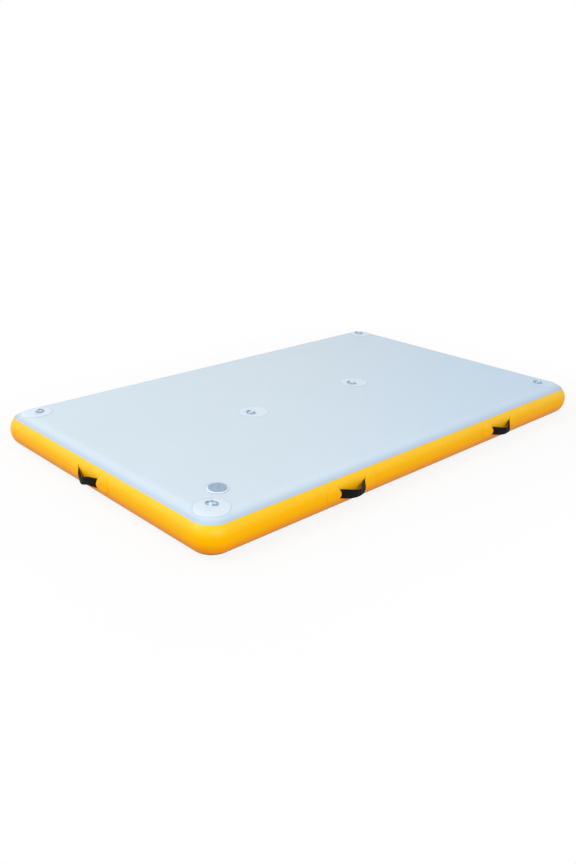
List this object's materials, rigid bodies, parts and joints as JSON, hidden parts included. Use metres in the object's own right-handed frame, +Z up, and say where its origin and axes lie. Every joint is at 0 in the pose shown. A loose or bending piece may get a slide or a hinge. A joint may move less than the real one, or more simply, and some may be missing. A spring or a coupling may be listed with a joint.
{
  "type": "inflatable dock platform",
  "caption": "Rectangular drop-stitched inflatable dock with a rounded side band, webbing grab handles, lashing rings on round pads and a screw-capped air valve.",
  "frame": {"origin": "on the ground plane, under the middle of the deck", "axes": "+X along the short side towards the valve's side, +Y along the long side away from the valve's end, +Z up through the deck"},
  "size_m": [1.609, 2.523, 0.168],
  "materials": {
    "deck_pvc": "embossed non-slip PVC sheet, satin",
    "band_pvc": "coated PVC sheet with a fine woven print-through, semi-gloss",
    "pad_pvc": "smooth PVC patch, satin",
    "base_pvc": "coated PVC sheet, satin",
    "core_cloth": "polyester drop-stitch base cloth",
    "webbing": "flat woven webbing, matt",
    "stainless_steel": "polished stainless wire",
    "valve_plastic": "moulded nylon, satin",
    "flange_plastic": "moulded nylon, satin",
    "valve_rubber": "soft moulded rubber"
  },
  "bodies": {
    "hull": {"deck_skin": "deck_pvc", "side_band": "band_pvc", "base_skin": "base_pvc", "inner_wall": "core_cloth", "upper_base_cloth": "core_cloth", "stitched_core": "core_cloth", "upper_seam_tape": "core_cloth", "lower_seam_tape": "core_cloth", "front_right_ring_pad": "pad_pvc", "front_left_ring_pad": "pad_pvc", "back_right_ring_pad": "pad_pvc", "back_left_ring_pad": "pad_pvc", "centre_front_ring_pad": "pad_pvc", "centre_back_ring_pad": "pad_pvc", "right_front_handle_tail_a": "webbing", "right_front_handle_tail_b": "webbing", "right_front_handle_cover_a": "band_pvc", "right_front_handle_cover_b": "band_pvc", "right_back_handle_tail_a": "webbing", "right_back_handle_tail_b": "webbing", "right_back_handle_cover_a": "band_pvc", "right_back_handle_cover_b": "band_pvc", "left_front_handle_tail_a": "webbing", "left_front_handle_tail_b": "webbing", "left_front_handle_cover_a": "band_pvc", "left_front_handle_cover_b": "band_pvc", "left_back_handle_tail_a": "webbing", "left_back_handle_tail_b": "webbing", "left_back_handle_cover_a": "band_pvc", "left_back_handle_cover_b": "band_pvc", "front_handle_tail_a": "webbing", "front_handle_tail_b": "webbing", "front_handle_cover_a": "band_pvc", "front_handle_cover_b": "band_pvc", "back_handle_tail_a": "webbing", "back_handle_tail_b": "webbing", "back_handle_cover_a": "band_pvc", "back_handle_cover_b": "band_pvc", "valve_gasket": "valve_rubber", "valve_body": "flange_plastic", "valve_back_nut": "valve_plastic", "valve_spring": "stainless_steel"},
    "front_right_lashing_ring": {"front_right_ring": "stainless_steel"},
    "front_left_lashing_ring": {"front_left_ring": "stainless_steel"},
    "back_right_lashing_ring": {"back_right_ring": "stainless_steel"},
    "back_left_lashing_ring": {"back_left_ring": "stainless_steel"},
    "centre_front_lashing_ring": {"centre_front_ring": "stainless_steel"},
    "centre_back_lashing_ring": {"centre_back_ring": "stainless_steel"},
    "right_front_handle": {"right_front_handle_grip": "webbing"},
    "right_back_handle": {"right_back_handle_grip": "webbing"},
    "left_front_handle": {"left_front_handle_grip": "webbing"},
    "left_back_handle": {"left_back_handle_grip": "webbing"},
    "front_handle": {"front_handle_grip": "webbing"},
    "back_handle": {"back_handle_grip": "webbing"},
    "valve_seal": {"valve_seal_disc": "valve_rubber"},
    "valve_push_stem": {"valve_stem": "valve_plastic"},
    "cap_collar": {"valve_tether": "flange_plastic"},
    "cap": {"valve_cap": "valve_plastic", "valve_cap_seal": "valve_rubber"}
  },
  "joints": [
    {"name": "front_right_ring_flip", "type": "hinge", "parent": "hull", "child": "front_right_lashing_ring", "pos_m": [0.62872, -1.09621, 0.1617], "axis": [0.8572, 0.515, 0], "range_deg": [0, 180]},
    {"name": "front_left_ring_flip", "type": "hinge", "parent": "hull", "child": "front_left_lashing_ring", "pos_m": [-0.64399, -1.09763, 0.1617], "axis": [0.682, -0.7314, 0], "range_deg": [0, 180]},
    {"name": "back_right_ring_flip", "type": "hinge", "parent": "hull", "child": "back_right_lashing_ring", "pos_m": [0.62872, 1.09195, 0.1617], "axis": [-0.9848, 0.1736, 0], "range_deg": [0, 180]},
    {"name": "back_left_ring_flip", "type": "hinge", "parent": "hull", "child": "back_left_lashing_ring", "pos_m": [-0.65357, 1.10864, 0.1617], "axis": [-0.9848, -0.1736, 0], "range_deg": [0, 180]},
    {"name": "centre_front_ring_flip", "type": "hinge", "parent": "hull", "child": "centre_front_lashing_ring", "pos_m": [0.00142, -0.35258, 0.1617], "axis": [-0.9994, -0.0349, 0], "range_deg": [0, 180]},
    {"name": "centre_back_ring_flip", "type": "hinge", "parent": "hull", "child": "centre_back_lashing_ring", "pos_m": [0.00319, 0.33128, 0.1617], "axis": [-0.9925, -0.1219, 0], "range_deg": [0, 180]},
    {"name": "right_front_handle_swing", "type": "hinge", "parent": "hull", "child": "right_front_handle", "pos_m": [0.7634, -0.491, 0.08275], "axis": [0, -1, 0], "range_deg": [-35, 40], "stiffness_Nm_per_rad": 0.1, "deforming": ["right_front_handle_tail_a", "right_front_handle_tail_b"]},
    {"name": "right_back_handle_swing", "type": "hinge", "parent": "hull", "child": "right_back_handle", "pos_m": [0.7634, 0.547, 0.08275], "axis": [0, -1, 0], "range_deg": [-35, 40], "stiffness_Nm_per_rad": 0.1, "deforming": ["right_back_handle_tail_a", "right_back_handle_tail_b"]},
    {"name": "left_front_handle_swing", "type": "hinge", "parent": "hull", "child": "left_front_handle", "pos_m": [-0.7634, -0.491, 0.08275], "axis": [0, 1, 0], "range_deg": [-35, 40], "stiffness_Nm_per_rad": 0.1, "deforming": ["left_front_handle_tail_a", "left_front_handle_tail_b"]},
    {"name": "left_back_handle_swing", "type": "hinge", "parent": "hull", "child": "left_back_handle", "pos_m": [-0.7634, 0.547, 0.08275], "axis": [0, 1, 0], "range_deg": [-35, 40], "stiffness_Nm_per_rad": 0.1, "deforming": ["left_back_handle_tail_a", "left_back_handle_tail_b"]},
    {"name": "front_handle_swing", "type": "hinge", "parent": "hull", "child": "front_handle", "pos_m": [-0.008, -1.2204, 0.08275], "axis": [-1, 0, 0], "range_deg": [-35, 40], "stiffness_Nm_per_rad": 0.1, "deforming": ["front_handle_tail_a", "front_handle_tail_b"]},
    {"name": "back_handle_swing", "type": "hinge", "parent": "hull", "child": "back_handle", "pos_m": [-0.008, 1.2204, 0.08275], "axis": [1, 0, 0], "range_deg": [-35, 40], "stiffness_Nm_per_rad": 0.1, "deforming": ["back_handle_tail_a", "back_handle_tail_b"]},
    {"name": "seal_push", "type": "slide", "parent": "hull", "child": "valve_seal", "axis": [0, 0, -1], "range_m": [0, 0.006], "stiffness_N_per_m": 400, "springref_m": -0.005, "deforming": ["valve_spring"]},
    {"name": "stem_turn", "type": "hinge", "parent": "valve_seal", "child": "valve_push_stem", "pos_m": [0.539, -0.9935, 0.1275], "axis": [0, 0, 1], "range_deg": [0, 90]},
    {"name": "cap_lift", "type": "slide", "parent": "hull", "child": "cap_collar", "axis": [0, 0, 1], "range_m": [0, 0.0076], "deforming": ["valve_tether"]},
    {"name": "cap_turn", "type": "hinge", "parent": "cap_collar", "child": "cap", "pos_m": [0.539, -0.9935, 0.1613], "axis": [0, 0, 1], "range_deg": [0, 270]}
  ],
  "couplings": [
    {"joint": "cap_lift", "follows": "cap_turn", "m_per_rad": 0.0015915}
  ]
}
